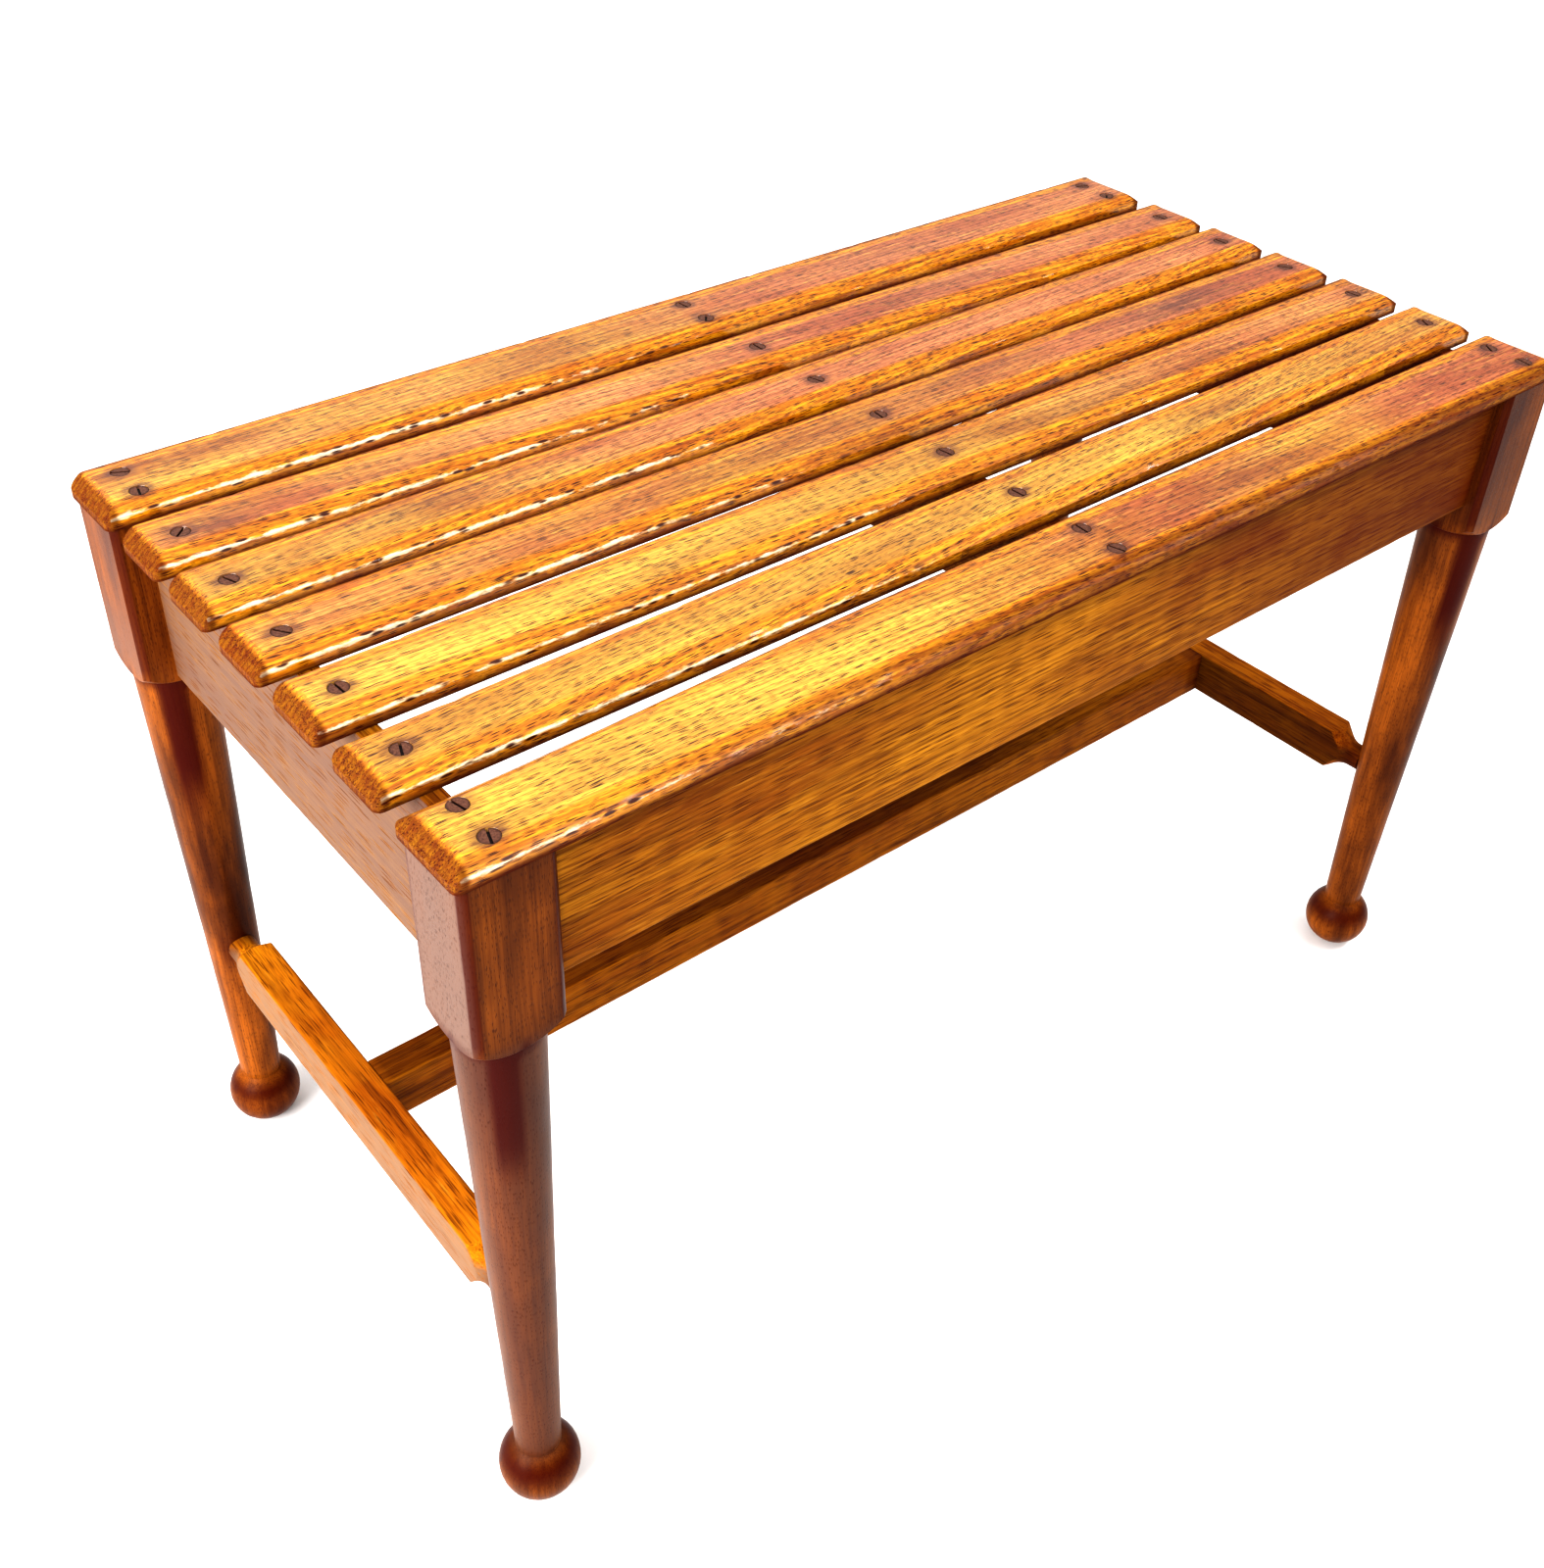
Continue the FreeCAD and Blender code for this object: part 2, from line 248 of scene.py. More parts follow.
def dashes(tree, vector, thickness, share):
    """Short dark pores: cells stretched along the grain, only some of them open."""
    cells = put(tree, "ShaderNodeTexVoronoi", {"Vector": vector, "Scale": 1.0, "Randomness": 1.0})
    inside = step(tree, cells.outputs["Distance"], thickness, thickness * 0.45)
    pick = put(tree, "ShaderNodeSeparateColor", (cells.outputs["Color"],)).outputs[0]
    return times(tree, inside, step(tree, pick, 1.0 - share, 1.05 - share))


def read_marks(tree):
    """Wear and painted highlight, stain and painted shade, dirt and painted shade, and tone with painted
    light, in that order.
    """
    marks = put(tree, "ShaderNodeAttribute", attribute_name="marks")
    parts = put(tree, "ShaderNodeSeparateColor", (marks.outputs["Color"],))
    return [parts.outputs[0], parts.outputs[1], parts.outputs[2], marks.outputs["Alpha"]]


def read_grain(tree):
    """Plank coordinates in metres, bent a little so that no grain line is straight."""
    raw = put(tree, "ShaderNodeAttribute", attribute_name="grain").outputs["Vector"]
    inputs = {"Vector": stretch(tree, raw, (4.0, 22.0, 22.0)), "Scale": 1.0, "Detail": 2.0}
    bend = put(tree, "ShaderNodeTexNoise", inputs).outputs["Color"]
    centred = offset(tree, bend, (-0.5, -0.5, -0.5))
    moved = stretch(tree, centred, (0.0, 0.006, 0.006))
    return offset(tree, raw, moved)


def new_material(name):
    material = bpy.data.materials.new(name)
    material.use_nodes = True
    tree = material.node_tree
    tree.nodes.clear()
    return material, tree


def finish_material(tree, colour, roughness, height, bump, ior=1.2, specular=0.5, metal=0.0,
                    coat=0.0, coat_roughness=0.2, coat_ior=1.4):
    """Principled shader with a bump from the height, and constants on its own sockets."""
    inputs = {"Strength": bump, "Distance": BUMP_DEPTH, "Height": height}
    bumped = put(tree, "ShaderNodeBump", inputs).outputs[0]
    shader = put(tree, "ShaderNodeBsdfPrincipled", {
        "Base Color": colour,
        "Roughness": roughness,
        "Metallic": metal,
        "IOR": ior,
        "Specular IOR Level": specular,
        "Coat Weight": coat,
        "Coat Roughness": coat_roughness,
        "Coat IOR": coat_ior,
        "Normal": bumped,
    })
    put(tree, "ShaderNodeOutputMaterial", (shader.outputs[0],))


# --------------------------------------------------------------------- materials
def wood_layers(tree, ring_spacing, pore_length, pore_width):
    """Growth rings, fibres, pores and slow patches of one kind of timber."""
    grain = read_grain(tree)
    rings = put(tree, "ShaderNodeTexWave", {
        "Vector": stretch(tree, grain, (0.4, 1.0, 1.0)),
        "Scale": WAVE_SPACING / ring_spacing,
        "Distortion": 2.4,
        "Detail": 3.0,
        "Detail Scale": 0.7,
    }, wave_type="BANDS", bands_direction="Y", wave_profile="SAW").outputs["Fac"]
    fine = cloud(tree, stretch(tree, grain, (18.0, 1300.0, 1300.0)), 3.0, 0.6)
    coarse = cloud(tree, stretch(tree, grain, (7.0, 330.0, 330.0)), 3.0, 0.6)
    length, width = 1.0 / pore_length, 1.0 / pore_width
    pores = dashes(tree, stretch(tree, grain, (length, width, width)), 0.46, 0.7)
    small = dashes(tree, stretch(tree, grain, (length * 1.7, width * 1.9, width * 1.9)), 0.42, 0.6)
    patches = cloud(tree, stretch(tree, grain, (6.0, 26.0, 26.0)), 4.0, 0.6)
    flecks = cloud(tree, stretch(tree, grain, (38.0, 420.0, 420.0)), 4.0, 0.7)
    return {"grain": grain, "rings": rings, "fine": fine, "coarse": coarse, "pores": pores,
            "small": small, "patches": patches, "flecks": flecks}


def paint_sheen_and_shade(tree, colour, tone_and_painted_light, pale, pores):
    """Tone over a half paints a pale sheen that keeps its pores; under a half paints shade."""
    between_pores = less(tree, 0.88, times(tree, pores, 0.8))
    painted_sheen = times(tree, step(tree, tone_and_painted_light, 0.5, 1.0), between_pores)
    shade = step(tree, tone_and_painted_light, 0.0, 0.5, 0.25, 1.0)
    return mix(tree, 1.0, mix(tree, painted_sheen, colour, pale), shade, "MULTIPLY")


def seat_oak():
    """Golden oak slats: tan to gold on top by tone and painted light, richer polish on the rounded
    edges, a painted highlight on the front arris.
    """
    material, tree = new_material("seat_oak_polish")
    wear_and_highlight, stain_and_shade, dirt_and_shade, tone_and_painted_light = read_marks(tree)
    layer = wood_layers(tree, 0.0036, 0.009, 0.0008)

    # The open top, from tan to gold by tone and painted light, and the polish left along the edges.
    contrast = step(tree, layer["patches"], 0.3, 0.7)
    tan = mix(tree, contrast, srgb(168, 88, 52), srgb(214, 138, 84))
    gold = mix(tree, contrast, srgb(160, 98, 20), srgb(230, 178, 66))
    top = mix(tree, step(tree, tone_and_painted_light, 0.2, 0.8), tan, gold)
    top = tint(tree, top, srgb(240, 190, 84), step(tree, layer["flecks"], 0.52, 0.72), 0.5)
    flecked = step(tree, layer["flecks"], 0.35, 0.65)
    polish = mix(tree, flecked, srgb(190, 108, 14), srgb(232, 160, 30))
    ragged = times(tree, less(tree, layer["flecks"], 0.5), 0.6)
    colour = mix(tree, step(tree, plus(tree, wear_and_highlight, ragged), 0.2, 0.4), top, polish)

    # Grain lines, a painted honey highlight where the slat is most golden and lit, and pores.
    colour = tint(tree, colour, srgb(120, 52, 10), step(tree, layer["rings"], 0.5, 0.95), 0.5)
    colour = tint(tree, colour, srgb(124, 56, 14), step(tree, layer["coarse"], 0.45, 0.68), 0.5)
    colour = tint(tree, colour, srgb(104, 40, 10), step(tree, layer["fine"], 0.42, 0.68), 0.4)
    painted_honey_highlight = times(tree, step(tree, tone_and_painted_light, 0.75, 1.0), less(tree, 1.0, wear_and_highlight))
    colour = tint(tree, colour, srgb(250, 216, 96), painted_honey_highlight, 0.14)
    pores = times(tree, layer["pores"], step(tree, layer["coarse"], 0.3, 0.55, 0.35, 1.0))
    colour = tint(tree, colour, srgb(50, 14, 4), pores, 0.95)
    colour = tint(tree, colour, srgb(76, 26, 7), layer["small"], 0.8)

    # A painted cream highlight and dark nicks along the front arris.
    broken = cloud(tree, stretch(tree, layer["grain"], (70.0, 260.0, 260.0)), 4.0, 0.7)
    painted_highlight = plus(tree, wear_and_highlight, times(tree, less(tree, broken, 0.7), 0.7))
    colour = tint(tree, colour, srgb(250, 232, 194), step(tree, painted_highlight, 0.71, 0.88), 0.85)
    nicks = dashes(tree, stretch(tree, layer["grain"], (110.0, 420.0, 420.0)), 0.5, 0.6)
    colour = mix(tree, times(tree, nicks, step(tree, wear_and_highlight, 0.7, 0.85)), colour, srgb(64, 22, 8))

    # Stains, and the dirt and painted shade.
    mottle = cloud(tree, stretch(tree, layer["grain"], (60.0, 160.0, 160.0)), 4.0, 0.7)
    mottled = plus(tree, 0.35, times(tree, step(tree, mottle, 0.3, 0.65), 0.65))
    colour = tint(tree, colour, srgb(84, 42, 34), times(tree, stain_and_shade, mottled), 0.95)
    colour = tint(tree, colour, srgb(58, 2, 0), dirt_and_shade, 0.95)

    height = less(tree, times(tree, layer["fine"], 0.3), pores)
    roughness = plus(tree, 0.3, times(tree, layer["flecks"], 0.22))
    roughness = plus(tree, roughness, times(tree, dirt_and_shade, 0.45))
    clean = less(tree, 1.0, dirt_and_shade)
    gloss = times(tree, times(tree, clean, clean), 0.6)
    finish_material(tree, colour, roughness, height, 0.35,
                    coat=gloss, coat_roughness=0.15, coat_ior=1.5)
    return material


def frame_oak(name, light, dark, deep, pale):
    """Golden-brown oak of the aprons and stretchers, with long fine grain lines."""
    material, tree = new_material(name)
    wear_and_highlight, stain_and_shade, dirt_and_shade, tone_and_painted_light = read_marks(tree)
    layer = wood_layers(tree, 0.0030, 0.020, 0.0011)
    colour = mix(tree, step(tree, layer["patches"], 0.3, 0.7), dark, light)
    colour = tint(tree, colour, srgb(206, 150, 56), step(tree, layer["flecks"], 0.54, 0.75), 0.45)
    colour = tint(tree, colour, dark, step(tree, layer["rings"], 0.45, 0.95), 0.45)
    colour = tint(tree, colour, deep, step(tree, layer["coarse"], 0.45, 0.66), 0.5)
    colour = tint(tree, colour, deep, step(tree, layer["fine"], 0.42, 0.68), 0.45)
    colour = tint(tree, colour, deep, layer["pores"], 0.7)
    colour = tint(tree, colour, deep, layer["small"], 0.45)
    colour = tint(tree, colour, light, wear_and_highlight, 0.4)
    # Stain, at the right end partly painted shade; then the painted sheen and shade of the tone; then
    # dirt and painted shade.
    colour = tint(tree, colour, srgb(84, 22, 3), stain_and_shade, 0.75)
    colour = paint_sheen_and_shade(tree, colour, tone_and_painted_light, pale, layer["pores"])
    colour = tint(tree, colour, srgb(54, 6, 1), dirt_and_shade, 0.9)
    height = less(tree, times(tree, layer["fine"], 0.4), layer["pores"])
    roughness = plus(tree, 0.42, times(tree, layer["patches"], 0.2))
    finish_material(tree, colour, roughness, height, 0.3, ior=1.14, specular=0.3)
    return material


def leg_beech():
    """Close-grained beech, stained red-brown under a glossy polish, darker in the ball feet."""
    material, tree = new_material("leg_beech_polish")
    wear_and_highlight, _, dirt_and_shade, tone_and_painted_light = read_marks(tree)
    layer = wood_layers(tree, 0.006, 0.006, 0.0010)
    plain = mix(tree, wear_and_highlight, srgb(116, 62, 16), srgb(176, 100, 28))
    colour = mix(tree, step(tree, layer["patches"], 0.3, 0.7), srgb(66, 30, 11), plain)
    colour = tint(tree, colour, srgb(62, 26, 9), step(tree, layer["coarse"], 0.45, 0.68), 0.4)
    colour = tint(tree, colour, srgb(54, 20, 7), step(tree, layer["fine"], 0.4, 0.7), 0.4)
    colour = tint(tree, colour, srgb(34, 9, 4), layer["small"], 0.6)
    # The tone paints a pale sheen over a half and shade under a half.
    colour = paint_sheen_and_shade(tree, colour, tone_and_painted_light, srgb(106, 80, 68), layer["small"])
    colour = tint(tree, colour, srgb(58, 4, 0), dirt_and_shade, 0.95)
    height = less(tree, times(tree, layer["fine"], 0.3), layer["small"])
    roughness = plus(tree, 0.28, times(tree, layer["patches"], 0.14))
    finish_material(tree, colour, roughness, height, 0.18, ior=1.14)
    return material


def screw_steel():
    """Dull steel gone brown with age, dark round the rim and in the slot."""
    material, tree = new_material("screw_steel_aged")
    _, _, dirt_and_shade, _ = read_marks(tree)
    place = put(tree, "ShaderNodeTexCoord").outputs["Object"]
    speckle = cloud(tree, stretch(tree, place, (900.0, 900.0, 900.0)), 4.0, 0.7)
    scratches = cloud(tree, stretch(tree, place, (400.0, 2600.0, 400.0)), 3.0, 0.6)
    colour = mix(tree, step(tree, speckle, 0.35, 0.7), srgb(112, 72, 54), srgb(70, 38, 28))
    colour = tint(tree, colour, srgb(140, 104, 88), step(tree, scratches, 0.55, 0.75), 0.4)
    colour = mix(tree, dirt_and_shade, colour, srgb(30, 10, 6))
    roughness = plus(tree, 0.45, times(tree, speckle, 0.25))
    finish_material(tree, colour, roughness, speckle, 0.4, ior=1.45, metal=0.3)
    return material


SEAT_OAK = seat_oak()
# The pale colours are the painted sheen on the sides facing the left.
APRON_OAK = frame_oak("apron_oak_polish", srgb(196, 134, 34), srgb(136, 76, 14), srgb(68, 26, 5),
                      pale=srgb(102, 80, 70))
STRETCHER_OAK = frame_oak("stretcher_oak_polish", srgb(214, 136, 22), srgb(164, 88, 12), srgb(80, 34, 6),
                          pale=srgb(122, 96, 76))
LEG_BEECH = leg_beech()
SCREW_STEEL = screw_steel()


# ------------------------------------------------------------------------- slats
EDGE_WIDTH = 6.5 * MM          # the worn bevel along each front top edge
EDGE_DROP = 4.6 * MM
BACK_DROP = 0.3 * MM           # the bevel along each back top edge, nearly square on most slats
BACK_DROP_FRONT = 0.6 * MM     # how much deeper it is on the two front slats
BACK_DROP_LEFT = 4.8 * MM      # how much deeper it grows towards the front left corner
END_LENGTH = 7.2 * MM          # the steeper bevel at each end
END_DROP = 6.6 * MM
SOFTENING = 3.0 * MM           # how rounded the edges of the bevels are
BEVEL_REACH = EDGE_WIDTH * 1.35        # the points along a bevel reach in this far
PLAN_RADIUS = 4.0 * MM         # of a slat's corners, seen from above
EDGE_WEAR = 0.10 * MM          # mean wear along the bevels
BITE_DEPTH = 0.9 * MM          # how deep small bites go into them
SIDE_WEAR = 0.4                # the share of that wear on the upright sides
DISH = 0.07 * MM               # mean unevenness of the flat top


def smooth_min(a, b, reach):
    """The lower of two heights, rounded where they meet."""
    h = max(reach - abs(a - b), 0.0) / reach
    return min(a, b) - h * h * reach / 4


def back_edge(x, y):
    """Width, drop and rounding of the bevel on a slat's back edge: deepest at the front left."""
    forward = max(0.0, -y) / LEG_Y
    left = smooth_step(100 * MM, 340 * MM, -x)
    fronted = smooth_step(0.4, 0.6, forward + 0.25 * smooth_step(60 * MM, 130 * MM, -x))
    drop = BACK_DROP + BACK_DROP_FRONT * fronted
    drop += BACK_DROP_LEFT * left * forward ** 2
    return (1.25 * drop, drop, 0.4 * MM + 0.5 * drop)


def slat_height(from_end, from_side, edge):
    """Height of the slat's upper surface over its underside, with an edge bevel."""
    width, drop, rounding = edge
    side = SLAT_THICKNESS - drop * (1 - from_side / width)
    end = SLAT_THICKNESS - END_DROP * (1 - from_end / END_LENGTH)
    soft = rounding + (SOFTENING - rounding) * smooth_step(0.0, 8 * MM, from_side)
    return smooth_min(smooth_min(side, end, SOFTENING * 0.6), SLAT_THICKNESS, soft)


def slat_columns(half_width):
    """Places across a slat: None for the height of the surface, or a share of the side's height."""
    bevel = [BEVEL_REACH * (1 - i / 11) for i in range(12)]
    flat = half_width - BEVEL_REACH
    right = [(half_width - reach, None) for reach in bevel]
    right += [(half_width, share) for share in (0.85, 0.6, 0.35, 0.12, 0.0)]
    left = [(-y, share) for y, share in reversed(right)]
    across = 8
    top = [(-flat + 2 * flat * (i + 1) / (across + 1), None) for i in range(across)]
    return right + left + top


def slat_stations(length):
    """Places along a slat, close together over the bevelled ends."""
    half = length / 2
    near = [0.0, 0.35, 0.8, 1.4, 2.2, 3.1, 4.0, 4.9, 5.7, 6.4, 7.0, 7.6, 8.4, 10.0]
    ends = [n * MM for n in near]
    inner = half - ends[-1]
    steps = int(inner * 2 / (3.2 * MM))
    middle = [-inner + 2 * inner * i / steps for i in range(1, steps)]
    return [-half + e for e in ends] + middle + [half - e for e in reversed(ends)]


def slat_point(x, y, share, half_length, half_width, row, seed):
    """A point about the middle of a slat's underside, worn back; row is where the slat lies in y."""
    from_end = half_length - abs(x)
    from_side = half_width - abs(y)
    edge = (EDGE_WIDTH, EDGE_DROP, SOFTENING) if y < 0 else back_edge(x, row)
    if share is None:
        height = slat_height(from_end, from_side, edge)
        dish = DISH * (1 + fractal((x, y, seed), 26.0, seed))
    else:
        height = slat_height(from_end, 0.0, edge) * share
        dish = 0.0
    on_edge = 1 - smooth_step(0.3, 1.4, from_side / EDGE_WIDTH)
    on_end = 1 - smooth_step(0.3, 1.4, from_end / END_LENGTH)
    spot = (x, y, height + seed)
    bite = max(0.0, fractal(spot, 95.0, seed, 4) - 0.36)
    sink = EDGE_WEAR * (1 + fractal(spot, 24.0, seed)) + BITE_DEPTH * bite
    sink *= max(on_edge, on_end) * (1.0 if share is None else SIDE_WEAR)
    corner = max(0.0, 1 - from_end / PLAN_RADIUS)
    narrow = 1 - PLAN_RADIUS * (1 - math.sqrt(1 - corner ** 2)) / half_width
    place = Vector((x, y * narrow, max(0.0, height - dish)))
    down = 0.0 if share == 0.0 else -0.8
    inward = Vector((-math.copysign(on_end, x), -math.copysign(on_edge, y), down))
    if inward.length > 0.1:
        place += inward.normalized() * sink
    return place


def make_slat(node, seed):
    low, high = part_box(node)
    centre = (low + high) / 2
    base = Vector((centre.x, centre.y, low.z))
    half_width = (high.y - low.y) / 2
    length = high.x - low.x
    rings = []
    for x in slat_stations(length):
        ring = []
        for y, share in slat_columns(half_width):
            ring.append(base + slat_point(x, y, share, length / 2, half_width, centre.y, seed))
        rings.append(ring)
    mesh = cut(grid_mesh(node, rings), recess_cutter(node))
    shift = Vector((seed * 1.7, seed * 0.37, seed * 0.21))
    run_out = 0.05 * math.sin(seed * 2.3)

    def grain_of(co):
        return Vector((co.x, co.y - centre.y + run_out * co.x, co.z - low.z)) + shift

    def marks_of(co, normal):
        return slat_marks(co, node, low, high, seed)

    paint(mesh, grain_of, marks_of)
    return add_piece(mesh, node, SEAT_OAK, sharp_angle=40.0)


# How golden each slat is, against the others.
SLAT_TONES = {"front_slat": -0.25, "slat_2": 0.4, "slat_3": 0.1, "slat_4": -0.3, "slat_5": -0.3,
              "slat_6": -0.45, "back_slat": -0.1}

# Old stains on the seat: x, y, reach along the slat and reach across it, in metres, and strength.
SEAT_STAINS = [
    (0.245, 0.000, 0.045, 0.012, 0.9),
    (0.095, -0.062, 0.040, 0.010, 0.35),
    (0.085, 0.006, 0.060, 0.010, 0.35),
    (0.150, -0.115, 0.050, 0.012, 0.4),
    (-0.250, 0.060, 0.040, 0.010, 0.55),
    (-0.330, 0.098, 0.012, 0.010, 0.7),
    (0.130, 0.105, 0.050, 0.010, 0.35),
    (0.150, 0.160, 0.060, 0.012, 0.25),
    (-0.020, -0.020, 0.050, 0.010, 0.5),
    (0.100, -0.165, 0.045, 0.012, 0.35),
    (0.300, -0.160, 0.050, 0.012, 0.2),
]


def stain_at(co, node):
    """How stained a place is: the old stains, and a dark ring round every screw."""
    stain_and_shade = 0.0
    for x, y, along, across, strength in SEAT_STAINS:
        distance = ((co.x - x) / along) ** 2 + ((co.y - y) / across) ** 2
        stain_and_shade += strength * math.exp(-distance)
    for part_low, part_high in SCREWS[node]:
        hole = (part_low + part_high) / 2
        distance = math.hypot((co.x - hole.x) * 0.75, co.y - hole.y) / HEAD_RADIUS
        stain_and_shade += 0.9 * math.exp(-((max(0.0, distance - 0.9)) / 0.5) ** 2)
    return min(1.0, stain_and_shade)


def slat_marks(co, node, low, high, seed):
    """Wear and a painted highlight on the front arris, stains on the top, painted shade low on the
    sides, golden tone with painted light.
    """
    centre_y = (low.y + high.y) / 2
    side = (high.y - low.y) / 2 - abs(co.y - centre_y)
    end = min(co.x - low.x, high.x - co.x)
    at_front = node == "front_slat"

    # Polish shows along the bevels, and a painted highlight on the front arris towards the left.
    wear_and_highlight = 0.7 * (1 - smooth_step(0.85, 1.7, min(side / EDGE_WIDTH, end / END_LENGTH)))
    wander = (0.16 if at_front else 0.0) + 0.05 * fractal(co, 6.0, seed)
    left = 1 - smooth_step(-0.2, 0.08, co.x + wander)
    if co.y < centre_y and end > 3 * MM:
        arris = math.exp(-((co.z - low.z - SLAT_THICKNESS + EDGE_DROP) / (1.6 * MM)) ** 2)
        wear_and_highlight += 0.3 * arris * (1 - smooth_step(0.0, 3 * MM, side)) * left

    # Painted shade lies low on the sides; darker too on the ends, along the back edge and on the front
    # bevel to the right.
    height = (co.z - low.z) / SLAT_THICKNESS
    on_side = side < 2 * MM or end < 2 * MM
    dirt_and_shade = 0.95 * (1 - smooth_step(0.04, 0.42, height)) if on_side else 0.0
    dirt_and_shade = max(dirt_and_shade, 0.78 * (1 - smooth_step(0.75, 1.2, end / END_LENGTH)))
    if co.y > centre_y:
        dirt_and_shade = max(dirt_and_shade, 0.9 * (1 - smooth_step(0.6 * MM, 2.2 * MM, side)))
    elif at_front:
        dirt_and_shade = max(dirt_and_shade, 0.65 * (1 - left) * (1 - smooth_step(0.6, 1.3, side / EDGE_WIDTH)))

    # Golden tone per slat, with painted light: more golden towards the front left where the light falls,
    # tan with a painted sheen towards the back right.
    lit_gold = 0.7 + SLAT_TONES[node] - (co.x + 0.5 * co.y) / SEAT_END * 0.5
    tone_and_painted_light = lit_gold + 0.35 * fractal((co.x, co.y * 2, seed), 7.0, seed)
    return (wear_and_highlight, stain_at(co, node), dirt_and_shade, min(1.0, max(0.0, tone_and_painted_light)))


def recess_cutter(node):
    """The countersunk recesses of every screw in a slat, as one tool."""
    tool = bmesh.new()
    slope = HEAD_RADIUS - SHANK_RADIUS
    above = 1.2 * MM
    rim = HEAD_RADIUS + RECESS_GAP
    flare = rim + 0.3 * MM

    def add_cone(centre, bottom, depth, low_radius, high_radius):
        matrix = Matrix.Translation((centre.x, centre.y, bottom + depth / 2))
        bmesh.ops.create_cone(tool, cap_ends=True, segments=40, radius1=low_radius,
                              radius2=high_radius, depth=depth, matrix=matrix)

    for low, high in SCREWS[node]:
        centre = (low + high) / 2
        add_cone(centre, HEAD_TOP - slope, slope, SHANK_RADIUS, rim)
        add_cone(centre, HEAD_TOP, above, rim, flare)
    mesh = bpy.data.meshes.new("recesses")
    bmesh.ops.remove_doubles(tool, verts=tool.verts, dist=1e-7)

    def between_cones(face):
        return abs(face.normal.z) > 0.99 and abs(face.calc_center_median().z - HEAD_TOP) < 1e-6

    doubled = [face for face in tool.faces if between_cones(face)]
    bmesh.ops.delete(tool, geom=doubled, context="FACES_ONLY")
    tool.to_mesh(mesh)
    tool.free()
    return mesh


# ------------------------------------------------------------------------ screws
SLOT_WIDTH = 1.25 * MM
SLOT_DEPTH = 1.1 * MM
SHANK_LENGTH = 14.0 * MM
# Outline of a head as (radius, height), from the shank up over the rim to the middle of the top.
SCREW_PROFILE = [
    (SHANK_RADIUS, -SHANK_LENGTH),
    (SHANK_RADIUS, SHANK_RADIUS - HEAD_RADIUS),
    (HEAD_RADIUS - 0.12 * MM, -0.25 * MM),
    (HEAD_RADIUS, -0.1 * MM),
    (HEAD_RADIUS - 0.25 * MM, 0.0),
    (HEAD_RADIUS * 0.75, -0.02 * MM),
    (HEAD_RADIUS * 0.5, 0.0),
    (HEAD_RADIUS * 0.25, 0.0),
    (0.05 * MM, 0.0),
]


def screw_mesh(centre, turn):
    """One countersunk head with a driving slot over a short shank."""
    rings = []
    sides = 48
    for radius, z in SCREW_PROFILE:
        angles = [2 * math.pi * i / sides for i in range(sides)]
        rings.append([Vector((radius * math.cos(a), radius * math.sin(a), z)) for a in angles])
    tool = bmesh.new()
    scale = Matrix.Diagonal((HEAD_RADIUS * 3, SLOT_WIDTH, SLOT_DEPTH * 2, 1))
    bmesh.ops.create_cube(tool, size=1.0, matrix=scale)
    cutter = bpy.data.meshes.new("slot")
    tool.to_mesh(cutter)
    tool.free()
    mesh = cut(grid_mesh("screw", rings), cutter)
    mesh.transform(Matrix.Translation(centre) @ Matrix.Rotation(turn, 4, "Z"))
    return mesh


def make_screws(node, seed):
    """All the screws of one slat as one piece."""
    joined = bmesh.new()
    centres = []
    for i, (low, high) in enumerate(SCREWS[node]):
        centre = Vector(((low.x + high.x) / 2, (low.y + high.y) / 2, HEAD_TOP))
        centres.append(centre)
        turn = math.pi * (0.5 + 0.5 * fractal((i * 1.3, seed * 2.1, 0.4), 1.0, seed))
        joined.from_mesh(screw_mesh(centre, turn))
    mesh = bpy.data.meshes.new(node + "_screws")
    joined.to_mesh(mesh)
    joined.free()

    def marks_of(co, normal):
        centre = min(centres, key=lambda c: (c - co).length_squared)
        rim = smooth_step(0.86, 1.0, math.hypot(co.x - centre.x, co.y - centre.y) / HEAD_RADIUS)
        below = smooth_step(0.25 * MM, 0.9 * MM, centre.z - co.z)
        return (0.0, 0.0, max(0.75 * rim, below), 0.5)

    paint(mesh, lambda co: co, marks_of)
    return add_piece(mesh, node + "_screws", SCREW_STEEL, "_steel", 25.0)


# ------------------------------------------------------------------- plain bars
def bar_outline(half_a, half_b, radius, flat_points=8, corner_points=5):
    """A rounded rectangle about the origin, counter-clockwise."""
    outline = []
    corners = [(half_a, half_b, 0), (-half_a, half_b, 1), (-half_a, -half_b, 2), (half_a, -half_b, 3)]
    for a, b, quarter in corners:
        centre_a = math.copysign(half_a - radius, a)
        centre_b = math.copysign(half_b - radius, b)
        for i in range(corner_points):
            angle = math.pi / 2 * (quarter + i / (corner_points - 1))
            outline.append((centre_a + radius * math.cos(angle), centre_b + radius * math.sin(angle)))
    full = []
    for i, start in enumerate(outline):
        full.append(start)
        if i % corner_points == corner_points - 1:
            end = outline[(i + 1) % len(outline)]
            for k in range(1, flat_points):
                t = k / flat_points
                full.append((start[0] + (end[0] - start[0]) * t, start[1] + (end[1] - start[1]) * t))
    return full


